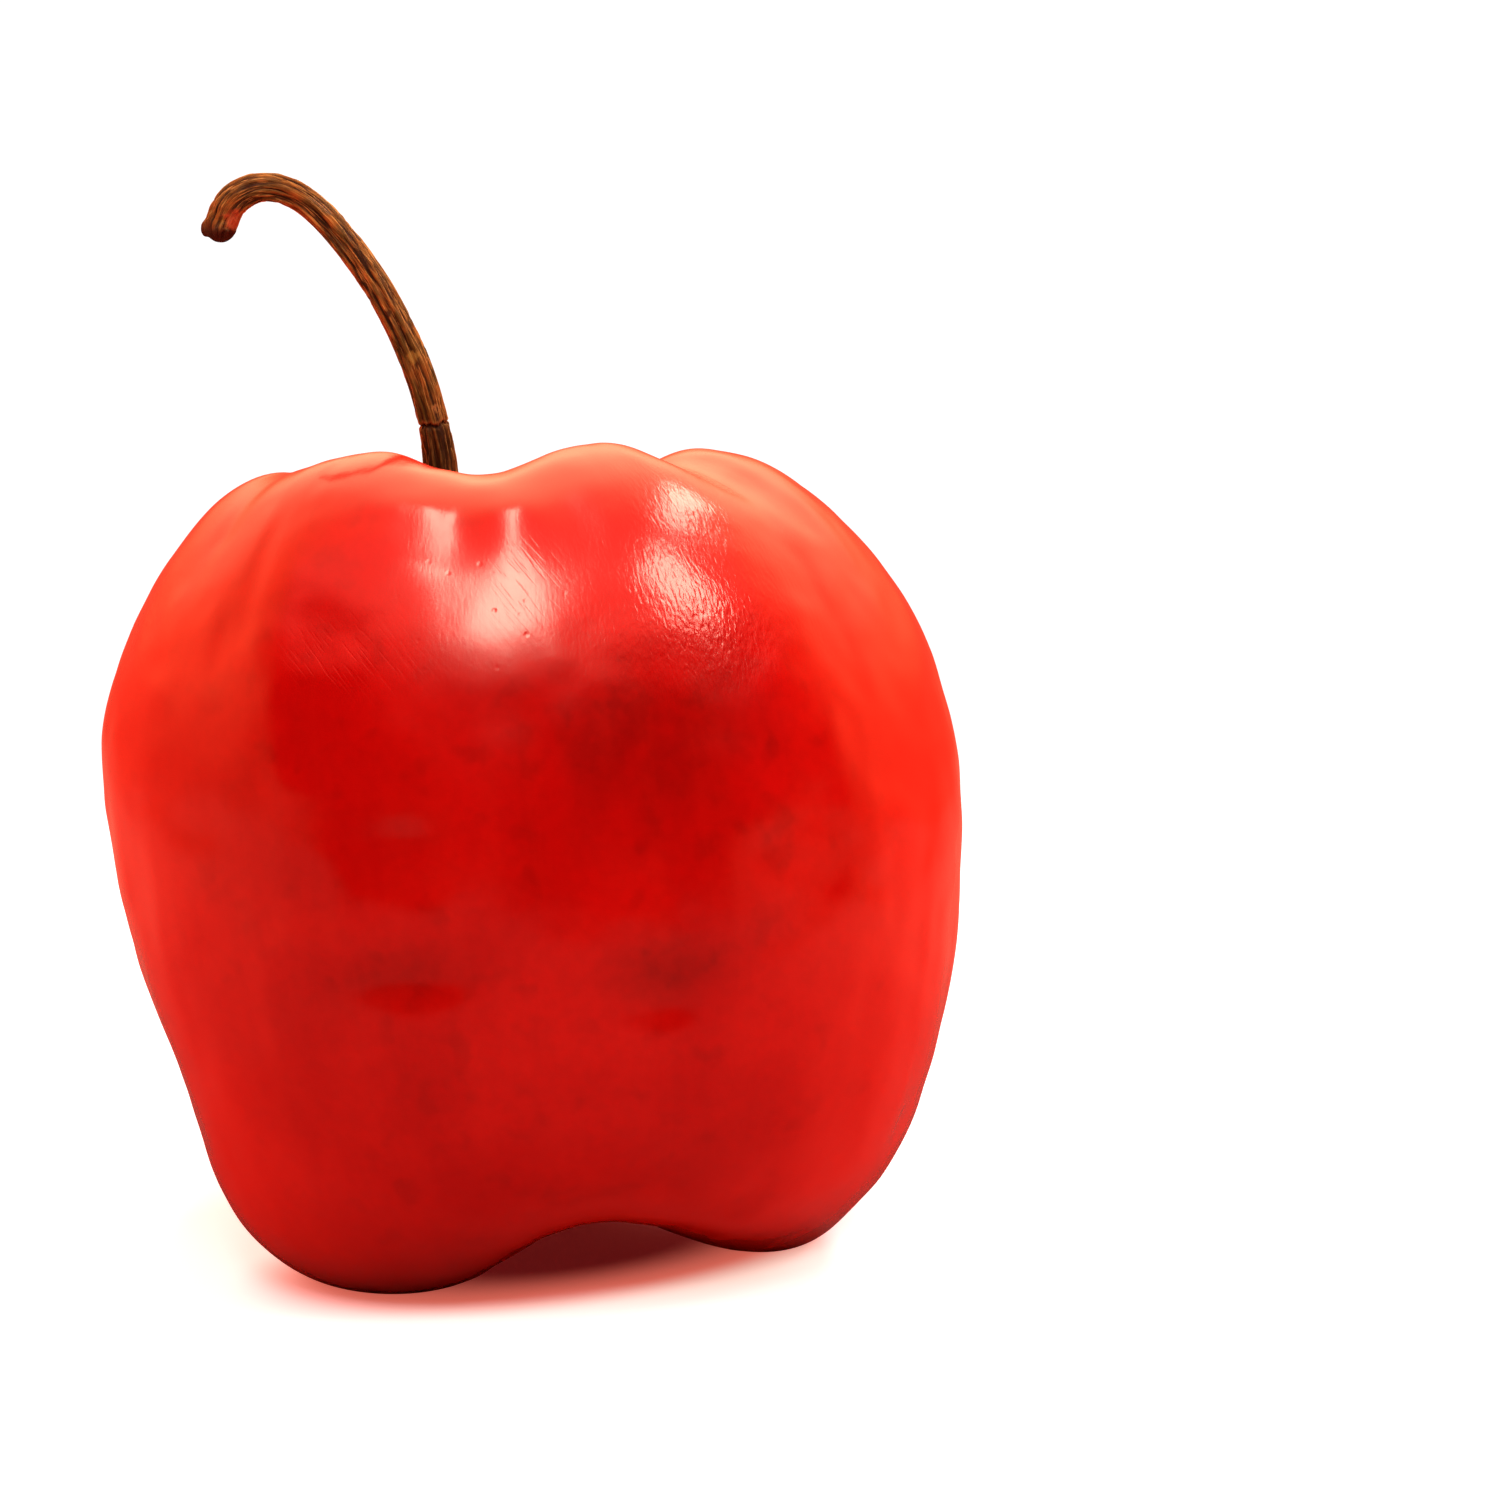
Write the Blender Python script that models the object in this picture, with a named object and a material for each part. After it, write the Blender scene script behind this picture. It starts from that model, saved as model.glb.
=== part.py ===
# A rocoto pepper as picked: a red lobed berry that stands on three low points, the green calyx in
# its stem hollow, and the brown woody stem that arches over to the left and hooks down at its tip.
# Metres, +Z up. The viewer stands towards -Y, so +X is to the right. The origin is on the floor,
# under the middle of the whole fruit.

import math

import bmesh
import bpy
import numpy as np

# Berry: what its half outline does on the right, at the back, on the left and in front
BELLY_RADIUS = (0.0386, 0.0350, 0.0372, 0.0352)
BELLY_HEIGHT = (0.0440, 0.0410, 0.0440, 0.0410)
FOOT_RADIUS = (0.0162, 0.0180, 0.0190, 0.0165)
CREST_RADIUS = (0.0180, 0.0165, 0.0200, 0.0165)
CREST_HEIGHT = (0.0715, 0.0680, 0.0692, 0.0742)
LOWER_SQUARENESS = (2.0, 2.4, 2.6, 2.4)
UPPER_SQUARENESS = (1.82, 2.2, 1.5, 2.2)
SCAR_HEIGHT = 0.0060
SEAT_HEIGHT = 0.0590
OUTLINE_EASE = 0.0022

# Where along the outline things lie, from the blossom scar at 0 up to the stem's seat at 1
AT_FOOT = 0.13
AT_BELLY = 0.42
AT_SHOULDER = 0.70
AT_CREST = 0.84
AT_FUNNEL = 0.93

# Grooves between the lobes: angle at the foot and at the crest, half width at both, and depth at
# the foot, the belly, the shoulder, the crest and in the stem hollow
GROOVES = (
    {"foot": -79, "crest": -92, "width": (30, 19), "depths": (0.0056, 0.0004, 0.0014, 0.0030, 0.0030)},
    {"foot": 59, "crest": 47, "width": (24, 18), "depths": (0.0055, 0.0014, 0.0022, 0.0040, 0.0030)},
    {"foot": 158, "crest": 160, "width": (20, 17), "depths": (0.0040, 0.0010, 0.0014, 0.0030, 0.0026)},
    {"foot": -10, "crest": -33, "width": (14, 14), "depths": (0.0000, 0.0002, 0.0010, 0.0026, 0.0024)},
    {"foot": 110, "crest": 104, "width": (16, 16), "depths": (0.0008, 0.0004, 0.0012, 0.0028, 0.0024)},
    {"foot": -128, "crest": -146, "width": (14, 14), "depths": (0.0000, 0.0004, 0.0006, 0.0006, 0.0020)},
)

# Swellings and hollows of the skin: angle, place along the outline, reach around and along, height.
# The first three fill out the feet.
SWELLINGS = (
    {"angle": -155, "at": 0.180, "around": 0.015, "along": 0.014, "push": 0.0026},
    {"angle": 9, "at": 0.140, "around": 0.012, "along": 0.010, "push": 0.0010},
    {"angle": 108, "at": 0.150, "around": 0.014, "along": 0.012, "push": 0.0012},
    {"angle": -35, "at": 0.130, "around": 0.015, "along": 0.014, "push": -0.0020},
    {"angle": 180, "at": 0.345, "around": 0.022, "along": 0.013, "push": -0.0024},
    {"angle": -73, "at": 0.840, "around": 0.007, "along": 0.010, "push": -0.0010},
)

# How the berry stands: its axis leans to the left and back, its stem seat lies left of the axis,
# and its three feet are pressed a little flat. Up to the settle height the skin gives way so that
# all three reach the floor.
LEAN_LEFT = math.radians(5.0)
LEAN_BACK = math.radians(3.0)
SEAT_SHIFT = -0.0052
FOOT_ANGLES = (-155, 9, 108)
FOOT_SPREAD = math.radians(35)
SETTLE_HEIGHT = 0.025
PRESS = 0.0005

AROUND_STEPS = 90
UP_STEPS = 44
OUTLINE_STEPS = 480

# Pieces that touch keep a small gap: the calyx over the berry's dished seat, the stem over the calyx
CALYX_CLEARANCE = 0.00045
STEM_CLEARANCE = 0.0007

# Calyx: a disc on the seat with a collar round the stem and six narrow teeth that curl up, one on
# each lobe. Each tooth has its angle, length and curl. The collar's rings are in its own widths.
DISC_REACH = 0.0053
DISC_THICKNESS = 0.0011
EDGE_THICKNESS = 0.0007
COLLAR_REACH = 0.0039
COLLAR_HEIGHT = 0.0011
COLLAR_WIDTH = 0.0006
COLLAR_RINGS = (-4.0, -2.0, -1.0, -0.5, 0.0, 0.5, 1.0, 1.6)
TOOTH_HALF_ANGLE = math.radians(11)
TEETH = (
    {"angle": -119, "length": 0.0046, "curl": 0.0015},
    {"angle": -63, "length": 0.0054, "curl": 0.0021},
    {"angle": 8, "length": 0.0048, "curl": 0.0014},
    {"angle": 76, "length": 0.0057, "curl": 0.0023},
    {"angle": 132, "length": 0.0044, "curl": 0.0016},
    {"angle": 188, "length": 0.0052, "curl": 0.0019},
)
TOOTH_RINGS = 4
CALYX_AROUND_STEPS = 72

# Stem: its middle line above the calyx floor, then its radius at shares of its length
STEM_PATH = (
    (-0.0079, 0.0013, 0.0660),
    (-0.0082, 0.0008, 0.0707),
    (-0.0088, 0.0003, 0.0744),
    (-0.0100, 0.0000, 0.0786),
    (-0.0118, 0.0000, 0.0828),
    (-0.0142, 0.0002, 0.0869),
    (-0.0174, 0.0006, 0.0910),
    (-0.0203, 0.0009, 0.0934),
    (-0.0231, 0.0010, 0.0941),
    (-0.0255, 0.0009, 0.0931),
    (-0.0268, 0.0007, 0.0910),
    (-0.0270, 0.0006, 0.0894),
)
STEM_RADII = (
    (0.00, 0.00185),
    (0.06, 0.00168),
    (0.20, 0.00150),
    (0.30, 0.00136),
    (0.50, 0.00130),
    (0.84, 0.00130),
    (0.93, 0.00152),
    (1.00, 0.00172),
)
STEM_RIBS = 5
RIB_HEIGHT = 0.05
RIB_TWIST = 1.3
STEM_SIDES = 15
STEM_STEPS = 34
FOOT_ROUNDING = 0.0005
TIP_ROUNDING = 0.0013
PATH_SAMPLES = 24

COLOURS = {"berry": (0.62, 0.008, 0.006), "calyx": (0.075, 0.090, 0.020), "stem": (0.150, 0.070, 0.026)}
ROUGHNESS = {"berry": 0.25, "calyx": 0.60, "stem": 0.75}


def around(values, angle):
    """A size that is given on the right, at the back, on the left and in front, at any angle between."""
    right, back, left, front = values
    mean = (right + back + left + front) / 4
    return (
        mean
        + (right - left) / 2 * np.cos(angle)
        + (back - front) / 2 * np.sin(angle)
        + (right + left - back - front) / 4 * np.cos(2 * angle)
    )


def eased(at, stops, values):
    """A value that moves from one stop to the next along the outline with a soft start and end."""
    total = np.full_like(at, values[0])
    for low, high, before, after in zip(stops, stops[1:], values, values[1:]):
        share = np.clip((at - low) / (high - low), 0, 1)
        total += (after - before) * share * share * (3 - 2 * share)
    return total


def turned_by(angle, middle):
    """How far an angle is from the middle of a lobe or groove, from -pi to pi."""
    return (angle - middle + math.pi) % (2 * math.pi) - math.pi


def ring_angles(count):
    return np.linspace(0, 2 * math.pi, count, endpoint=False)[None, :]


def half_outline(angle):
    """Radius and height of the smooth berry, from the scar up to the seat, for each angle."""
    belly, belly_at = around(BELLY_RADIUS, angle), around(BELLY_HEIGHT, angle)
    foot, crest = around(FOOT_RADIUS, angle), around(CREST_RADIUS, angle)
    top = around(CREST_HEIGHT, angle)
    turn = np.linspace(0, math.pi / 2, OUTLINE_STEPS)[:, None]
    share = np.linspace(0, 1, OUTLINE_STEPS)[:, None]
    low, high = 2 / around(LOWER_SQUARENESS, angle), 2 / around(UPPER_SQUARENESS, angle)
    radius = np.concatenate((
        foot * share,
        foot + (belly - foot) * np.sin(turn) ** low,
        crest + (belly - crest) * np.cos(turn) ** high,
        crest * (1 - share),
    ))
    height = np.concatenate((
        SCAR_HEIGHT * (1 + np.cos(math.pi * share)) / 2 + 0 * angle,
        belly_at * (1 - np.cos(turn) ** low),
        belly_at + (top - belly_at) * np.sin(turn) ** high,
        SEAT_HEIGHT + (top - SEAT_HEIGHT) * (1 + np.cos(math.pi * share)) / 2,
    ))
    return radius, height


def evenly_spaced(radius, height, count):
    """The same outlines with their points at equal steps of length."""
    step = np.hypot(np.diff(radius, axis=0), np.diff(height, axis=0))
    length = np.concatenate((np.zeros((1, radius.shape[1])), np.cumsum(step, axis=0)))
    new_radius = np.empty((count, radius.shape[1]))
    new_height = np.empty_like(new_radius)
    for column in range(radius.shape[1]):
        stops = np.linspace(0, length[-1, column], count)
        new_radius[:, column] = np.interp(stops, length[:, column], radius[:, column])
        new_height[:, column] = np.interp(stops, length[:, column], height[:, column])
    return new_radius, new_height, length[-1]


def softened(radius, height, length):
    """Rounds the joins between the outline's stretches, as if the curve ran on through the axis."""
    reach = OUTLINE_EASE / (length.mean() / (len(radius) - 1))
    side = int(3 * reach)
    weights = np.exp(-0.5 * (np.arange(-side, side + 1) / reach) ** 2)
    weights /= weights.sum()
    wide_radius = np.concatenate((-radius[side:0:-1], radius, -radius[-2 : -side - 2 : -1]))
    wide_height = np.concatenate((height[side:0:-1], height, height[-2 : -side - 2 : -1]))
    count = len(radius)
    soft_radius = sum(w * wide_radius[i : i + count] for i, w in enumerate(weights))
    soft_height = sum(w * wide_height[i : i + count] for i, w in enumerate(weights))
    return soft_radius, soft_height


def relief(angle, at, radius, length, grooves):
    """How far the skin stands out from the smooth berry: the grooves and the swellings."""
    stops = (0.0, AT_FOOT, AT_BELLY, AT_SHOULDER, AT_CREST, AT_FUNNEL, 1.0)
    total = np.zeros_like(radius)
    for groove in grooves:
        middle = eased(at, (AT_FOOT, AT_CREST), np.radians((groove["foot"], groove["crest"])))
        width = eased(at, (AT_FOOT, AT_CREST), np.radians(groove["width"]))
        off = turned_by(angle, middle) / width
        depth = eased(at, stops, (0.0, *groove["depths"], 0.0))
        total -= depth * np.exp(-off * off)
    for swelling in SWELLINGS:
        across = turned_by(angle, math.radians(swelling["angle"])) * radius / swelling["around"]
        along = (at - swelling["at"]) * length / swelling["along"]
        total += swelling["push"] * np.exp(-across * across - along * along)
    return total


def leaning_skin(angle, count, grooves):
    """Points of the leaning berry's skin, a row for each step from the scar up to the seat."""
    radius, height = half_outline(angle)
    radius, height, length = evenly_spaced(radius, height, OUTLINE_STEPS)
    radius, height = softened(radius, height, length)
    slope_r, slope_z = np.gradient(radius, axis=0), np.gradient(height, axis=0)
    size = np.hypot(slope_r, slope_z)
    at = np.linspace(0, 1, OUTLINE_STEPS)[:, None] + 0 * angle
    stand = relief(angle, at, np.abs(radius), length, grooves)
    radius = radius + stand * slope_z / size
    height = height - stand * slope_r / size
    radius[0], radius[-1] = 0, 0
    height[0], height[-1] = height[0].mean(), height[-1].mean()
    radius, height, _ = evenly_spaced(radius, height, count)
    at = np.linspace(0, 1, count)[:, None] + 0 * angle
    aside = eased(at, (AT_CREST, 1.0), (0.0, SEAT_SHIFT)) - math.tan(LEAN_LEFT) * height
    behind = math.tan(LEAN_BACK) * height
    return np.stack((radius * np.cos(angle) + aside, radius * np.sin(angle) + behind, height), axis=-1)


def standing_place():
    """The plane under the three feet, as two slopes and a level, and the berry's middle."""
    angle = ring_angles(AROUND_STEPS)
    points = leaning_skin(angle, OUTLINE_STEPS, GROOVES)
    feet = []
    for foot in FOOT_ANGLES:
        near = np.abs(turned_by(angle[0], math.radians(foot))) < FOOT_SPREAD
        sector = points[:, near].reshape(-1, 3)
        feet.append(sector[sector[:, 2].argmin()])
    feet = np.array(feet)
    plane = np.linalg.solve(np.column_stack((feet[:, :2], np.ones(3))), feet[:, 2])
    middle = (points.min(axis=(0, 1)) + points.max(axis=(0, 1)))[:2] / 2
    return plane, middle


def berry_skin(angle, count, grooves=GROOVES):
    """Points of the standing berry's skin: all three feet on the floor, the body above unchanged."""
    (slope_x, slope_y, level), middle = standing_place()
    points = leaning_skin(angle, count, grooves)
    floor = slope_x * points[..., 0] + slope_y * points[..., 1] + level
    keep = eased((points[..., 2] - floor) / SETTLE_HEIGHT, (0.0, 1.0), (0.0, 1.0))
    points[..., 2] -= level + (1 - keep) * (floor - level) + PRESS
    points[..., 2] = np.maximum(points[..., 2], 0)
    points[..., :2] -= middle
    return points


def skin_round_seat(angle, reach):
    """Points at distances from the seat's middle, on the skin that spans the grooves, and its normals."""
    skin = berry_skin(angle, OUTLINE_STEPS, grooves=())[::-1]
    step = np.linalg.norm(np.diff(skin, axis=0), axis=-1)
    away = np.concatenate((np.zeros((1, step.shape[1])), np.cumsum(step, axis=0)))
    points = np.empty(reach.shape + (3,))
    for column in range(reach.shape[1]):
        for axis in range(3):
            points[:, column, axis] = np.interp(reach[:, column], away[:, column], skin[:, column, axis])
    outward = np.gradient(points, axis=0)
    sideways = np.roll(points, -1, axis=1) - np.roll(points, 1, axis=1)
    normals = np.cross(outward, sideways)
    normals[0] = normals[1].mean(axis=0)
    return points, normals / np.linalg.norm(normals, axis=-1, keepdims=True)


def closed_mesh(name, rows):
    """A closed skin from rows of points: the first and last rows are single points."""
    shape = bmesh.new()
    first = shape.verts.new(rows[0][0])
    rings = [[shape.verts.new(point) for point in row] for row in rows[1:-1]]
    last = shape.verts.new(rows[-1][0])
    count = len(rings[0])
    for index in range(count):
        after = (index + 1) % count
        shape.faces.new((first, rings[0][after], rings[0][index]))
        for low, high in zip(rings, rings[1:]):
            shape.faces.new((low[index], low[after], high[after], high[index]))
        shape.faces.new((rings[-1][index], rings[-1][after], last))
    bmesh.ops.recalc_face_normals(shape, faces=shape.faces)
    mesh = bpy.data.meshes.new(name)
    shape.to_mesh(mesh)
    shape.free()
    mesh.shade_smooth()
    return mesh


def add_piece(name, rows):
    """One finished piece with its own material."""
    piece = bpy.data.objects.new(name, closed_mesh(name, rows))
    bpy.context.scene.collection.objects.link(piece)
    material = bpy.data.materials.new(name)
    material.use_nodes = True
    shader = material.node_tree.nodes["Principled BSDF"]
    shader.inputs["Base Color"].default_value = (*COLOURS[name], 1)
    shader.inputs["Roughness"].default_value = ROUGHNESS[name]
    shader.inputs["Metallic"].default_value = 0
    piece.data.materials.append(material)
    return piece


def build_berry():
    return add_piece("berry", berry_skin(ring_angles(AROUND_STEPS), UP_STEPS))


def build_calyx():
    """The calyx lies a gap above the lobes and spans the grooves between them, its teeth curling away."""
    angle = ring_angles(CALYX_AROUND_STEPS)
    tooth_length, tooth_curl = 0 * angle, 0 * angle
    for tooth in TEETH:
        off = turned_by(angle, math.radians(tooth["angle"])) / TOOTH_HALF_ANGLE
        share = np.exp(-off * off)
        tooth_length += tooth["length"] * share
        tooth_curl += tooth["curl"] * share
    disc = COLLAR_REACH + COLLAR_WIDTH * np.array((0, *COLLAR_RINGS))[:, None] + 0 * angle
    disc[0] = 0
    share = np.linspace(0, 1, TOOTH_RINGS + 1)[1:, None]
    tooth = disc[-1] + share * (DISC_REACH + tooth_length - disc[-1])
    reach = np.concatenate((disc, tooth))
    points, normals = skin_round_seat(angle, reach)
    past_disc = np.clip((reach - DISC_REACH) / tooth_length.max(), 0, 1)
    lift = tooth_curl * past_disc**2
    collar = COLLAR_HEIGHT * np.exp(-(((reach - COLLAR_REACH) / COLLAR_WIDTH) ** 2))
    thickness = DISC_THICKNESS + (EDGE_THICKNESS - DISC_THICKNESS) * reach / reach.max() + collar
    under = points + normals * (CALYX_CLEARANCE + lift)[..., None]
    over = under + normals * thickness[..., None]
    return add_piece("calyx", np.concatenate((under, over[::-1])))


def smooth_path(points):
    """A Catmull-Rom curve through the points, with many samples."""
    ends = np.concatenate((2 * points[:1] - points[1:2], points, 2 * points[-1:] - points[-2:-1]))
    share = np.linspace(0, 1, PATH_SAMPLES, endpoint=False)[:, None]
    pieces = []
    for before, start, end, after in zip(ends, ends[1:], ends[2:], ends[3:]):
        pieces.append(
            start
            + (end - before) / 2 * share
            + (before - 2.5 * start + 2 * end - after / 2) * share**2
            + (1.5 * (start - end) + (after - before) / 2) * share**3
        )
    return np.concatenate((*pieces, points[-1:]))


def stem_stops(length):
    """Distances along the stem for its rings, closer together where its ends are rounded."""
    foot = FOOT_ROUNDING * (1 - np.cos(np.linspace(0, math.pi / 2, 4)))
    tip = length - TIP_ROUNDING * (1 - np.cos(np.linspace(math.pi / 2, 0, 6)))
    between = np.linspace(FOOT_ROUNDING, length - TIP_ROUNDING, STEM_STEPS)
    return np.concatenate((foot, between[1:-1], tip))


def build_stem(foot):
    """A ribbed tube swept along its path from the calyx floor, its cross-axes carried along."""
    path = smooth_path(np.array((foot, *STEM_PATH)))
    away = np.concatenate(([0], np.cumsum(np.linalg.norm(np.diff(path, axis=0), axis=1))))
    length = away[-1]
    stops = stem_stops(length)
    middle = np.stack([np.interp(stops, away, path[:, axis]) for axis in range(3)], axis=-1)
    ahead = np.stack([np.interp(stops, away, np.gradient(path[:, axis], away)) for axis in range(3)], axis=-1)
    ahead /= np.linalg.norm(ahead, axis=1, keepdims=True)
    at, radii = np.array(STEM_RADII).T
    radius = np.interp(stops / length, at, radii)
    from_foot = np.clip(1 - stops / FOOT_ROUNDING, 0, 1)
    from_tip = np.clip(1 - (length - stops) / TIP_ROUNDING, 0, 1)
    radius *= np.sqrt(1 - from_foot**2) * np.sqrt(1 - from_tip**2)
    turn = ring_angles(STEM_SIDES)[0]
    side = np.array((1.0, 0.0, 0.0))
    rows = []
    for centre, forward, size, share in zip(middle, ahead, radius, stops / length):
        side = side - forward * side.dot(forward)
        side /= np.linalg.norm(side)
        other = np.cross(forward, side)
        ribbed = size * (1 + RIB_HEIGHT * np.cos(STEM_RIBS * turn + RIB_TWIST * share))
        ring = np.outer(ribbed * np.cos(turn), side) + np.outer(ribbed * np.sin(turn), other)
        rows.append(centre + ring)
    return add_piece("stem", rows)


def calyx_floor():
    """Where the stem stands: over the middle of the calyx, clear of its dished floor."""
    angle = ring_angles(CALYX_AROUND_STEPS)
    points, normals = skin_round_seat(angle, np.array(((0.0,), (DISC_REACH,))) + 0 * angle)
    return points[0, 0] + normals[0, 0] * (CALYX_CLEARANCE + DISC_THICKNESS + STEM_CLEARANCE)


def clear_scene():
    for item in list(bpy.data.objects):
        bpy.data.objects.remove(item, do_unlink=True)


clear_scene()
build_berry()
build_calyx()
build_stem(calyx_floor())
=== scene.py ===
# A ripe red rocoto pepper on a white table: its waxy wrinkled skin, the green calyx in the stem
# hollow and the dry ribbed stem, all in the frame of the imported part.

import math

import bpy
import numpy as np
from mathutils import Matrix, Vector


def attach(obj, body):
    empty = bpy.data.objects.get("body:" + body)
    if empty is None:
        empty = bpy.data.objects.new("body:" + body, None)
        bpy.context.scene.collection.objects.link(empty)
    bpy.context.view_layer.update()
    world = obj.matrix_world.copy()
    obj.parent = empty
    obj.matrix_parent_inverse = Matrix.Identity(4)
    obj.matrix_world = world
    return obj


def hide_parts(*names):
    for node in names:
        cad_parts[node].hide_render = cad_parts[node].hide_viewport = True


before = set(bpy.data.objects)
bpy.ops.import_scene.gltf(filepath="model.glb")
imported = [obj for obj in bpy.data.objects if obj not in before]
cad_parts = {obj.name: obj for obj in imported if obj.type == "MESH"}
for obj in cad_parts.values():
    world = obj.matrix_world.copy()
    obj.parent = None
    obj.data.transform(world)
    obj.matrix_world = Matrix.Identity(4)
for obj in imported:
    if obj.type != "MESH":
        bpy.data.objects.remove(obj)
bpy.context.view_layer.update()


# Small helpers for node trees, used by the shapes and the finishes

def feed(tree, socket, value):  # a link where the value is a socket, else the socket's own number
    if isinstance(value, bpy.types.NodeSocket):
        tree.links.new(value, socket)
    else:
        socket.default_value = value


def addNode(tree, kind, inputs=(), **settings):
    node = tree.nodes.new(kind)
    for name, value in settings.items():
        setattr(node, name, value)
    for label, value in dict(inputs).items():
        feed(tree, node.inputs[label], value)
    return node


def calc(tree, operation, *values):
    return addNode(tree, "ShaderNodeMath", enumerate(values), operation=operation).outputs[0]


def times(tree, first, second):
    return calc(tree, "MULTIPLY", first, second)


def timesPlus(tree, first, second, third):
    return calc(tree, "MULTIPLY_ADD", first, second, third)


def scaled(tree, vector, size):
    return addNode(tree, "ShaderNodeVectorMath", {0: vector, 1: size}, operation="MULTIPLY").outputs[0]


def lengthOf(tree, vector):
    return addNode(tree, "ShaderNodeVectorMath", {0: vector}, operation="LENGTH").outputs["Value"]


def parts(tree, vector):
    return addNode(tree, "ShaderNodeSeparateXYZ", {0: vector}).outputs


def joined(tree, x, y, z):
    return addNode(tree, "ShaderNodeCombineXYZ", {"X": x, "Y": y, "Z": z}).outputs[0]


def noise(tree, vector, scale, detail=2.0, rough=0.5, warp=0.0):
    inputs = {"Vector": vector, "Scale": scale, "Detail": detail, "Roughness": rough, "Distortion": warp}
    return addNode(tree, "ShaderNodeTexNoise", inputs).outputs[0]


def stretchedNoise(tree, vector, stretch, *character):
    return noise(tree, scaled(tree, vector, stretch), 1.0, *character)


def remap(tree, value, low, high, toLow=0.0, toHigh=1.0):
    inputs = {"Value": value, "From Min": low, "From Max": high, "To Min": toLow, "To Max": toHigh}
    return addNode(tree, "ShaderNodeMapRange", inputs, interpolation_type="SMOOTHSTEP").outputs[0]


def blendColour(tree, share, first, second):
    inputs = {"Factor": share, "A": first, "B": second}
    return addNode(tree, "ShaderNodeMix", inputs, data_type="RGBA").outputs["Result"]


def layered(tree, colour, *layers):
    for share, over in layers:
        colour = blendColour(tree, share, colour, over)
    return colour


def stored(tree, name, kind="FLOAT"):
    return addNode(tree, "GeometryNodeInputNamedAttribute", {"Name": name}, data_type=kind).outputs["Attribute"]


def store(tree, shape, name, kind, value):
    inputs = {"Geometry": shape, "Name": name, "Value": value}
    return addNode(tree, "GeometryNodeStoreNamedAttribute", inputs, data_type=kind, domain="POINT").outputs[0]


def layOut(tree):
    # columns by how many links lead on to the end, rows in the order of making
    column = dict.fromkeys(tree.nodes.keys(), 0)
    for _ in range(len(column)):
        for link in tree.links:
            behind, ahead = link.from_node.name, link.to_node.name
            column[behind] = max(column[behind], column[ahead] + 1)
    filled = [0] * len(column)
    for name, at in column.items():
        tree.nodes[name].location = (-220 * at, -280 * filled[at])
        filled[at] += 1


def newTree(name, kind, takes, gives):
    # a node group, from the kinds of its named inputs and outputs
    tree = bpy.data.node_groups.new(name, kind)
    for way, sockets in (("INPUT", takes), ("OUTPUT", gives)):
        for label, socket in sockets.items():
            tree.interface.new_socket(name=label, in_out=way, socket_type="NodeSocket" + socket)
    return tree, addNode(tree, "NodeGroupInput").outputs


def endTree(tree, **gives):
    addNode(tree, "NodeGroupOutput", gives)
    layOut(tree)
    return tree


def newShape(name, sizes):  # its sizes are named inputs, and so is its finish
    sizes = {label: "Int" if isinstance(size, int) else "Float" for label, size in sizes.items()}
    shape = {"Geometry": "Geometry"}
    return newTree(name, "GeometryNodeTree", {**shape, **sizes, "Finish": "Material"}, shape)


def endShape(tree, given, shape, height):
    # moved along its normals, with its finish, as plain geometry because instances are not kept
    normal = addNode(tree, "GeometryNodeInputNormal").outputs[0]
    along = addNode(tree, "ShaderNodeVectorMath", {0: normal, "Scale": height}, operation="SCALE")
    moved = addNode(tree, "GeometryNodeSetPosition", {"Geometry": shape, "Offset": along.outputs[0]})
    smooth = addNode(tree, "GeometryNodeSetShadeSmooth", {"Geometry": moved.outputs[0]})
    real = addNode(tree, "GeometryNodeRealizeInstances", {0: smooth.outputs[0]})
    dressed = addNode(tree, "GeometryNodeSetMaterial", {"Geometry": real.outputs[0], "Material": given["Finish"]})
    return endTree(tree, Geometry=dressed.outputs[0])


def bakeTree(piece, tree, sizes, finish):
    # runs the tree once and keeps its result as the piece's plain mesh
    modifier = piece.modifiers.new(tree.name, "NODES")
    modifier.node_group = tree
    values = dict(sizes, Finish=finish)
    for item in tree.interface.items_tree:
        if item.item_type == "SOCKET" and item.in_out == "INPUT" and item.name in values:
            modifier[item.identifier] = values[item.name]
    depsgraph = bpy.context.evaluated_depsgraph_get()
    mesh = bpy.data.meshes.new_from_object(piece.evaluated_get(depsgraph))
    piece.modifiers.clear()
    piece.data = mesh
    mesh.name = piece.name
    return piece


def addObject(name, data):
    thing = bpy.data.objects.new(name, data)
    bpy.context.scene.collection.objects.link(thing)
    return thing


def onePole(rows):  # one value for each end row, and all of those between
    return np.concatenate((rows[0, :1], rows[1:-1].reshape(-1, *rows.shape[2:]), rows[-1, :1]))


def closedSkin(name, rows):
    # rows of points from pole to pole; the first and the last row are one point each
    count, steps = len(rows) - 2, rows.shape[1]
    points = onePole(rows)
    index = 1 + np.arange(count * steps).reshape(count, steps)
    after = np.roll(index, -1, axis=1)
    last = len(points) - 1
    quads = np.stack((index[:-1], after[:-1], after[1:], index[1:]), axis=-1).reshape(-1, 4)
    faces = [(0, b, a) for a, b in zip(index[0], after[0])]
    faces += [tuple(quad) for quad in quads]
    faces += [(a, b, last) for a, b in zip(index[-1], after[-1])]
    mesh = bpy.data.meshes.new(name)
    mesh.from_pydata(points, [], faces)
    mesh.update()
    return addObject(name, mesh)


def giveValues(piece, name, values):
    kind, field = ("FLOAT", "value") if np.ndim(values) == 1 else ("FLOAT_VECTOR", "vector")
    layer = piece.data.attributes.new(name, kind, "POINT")
    layer.data.foreach_set(field, np.float32(values).ravel())


# Berry: the same sizes as the solid has, each on the right, at the back, on the left and in front

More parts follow.
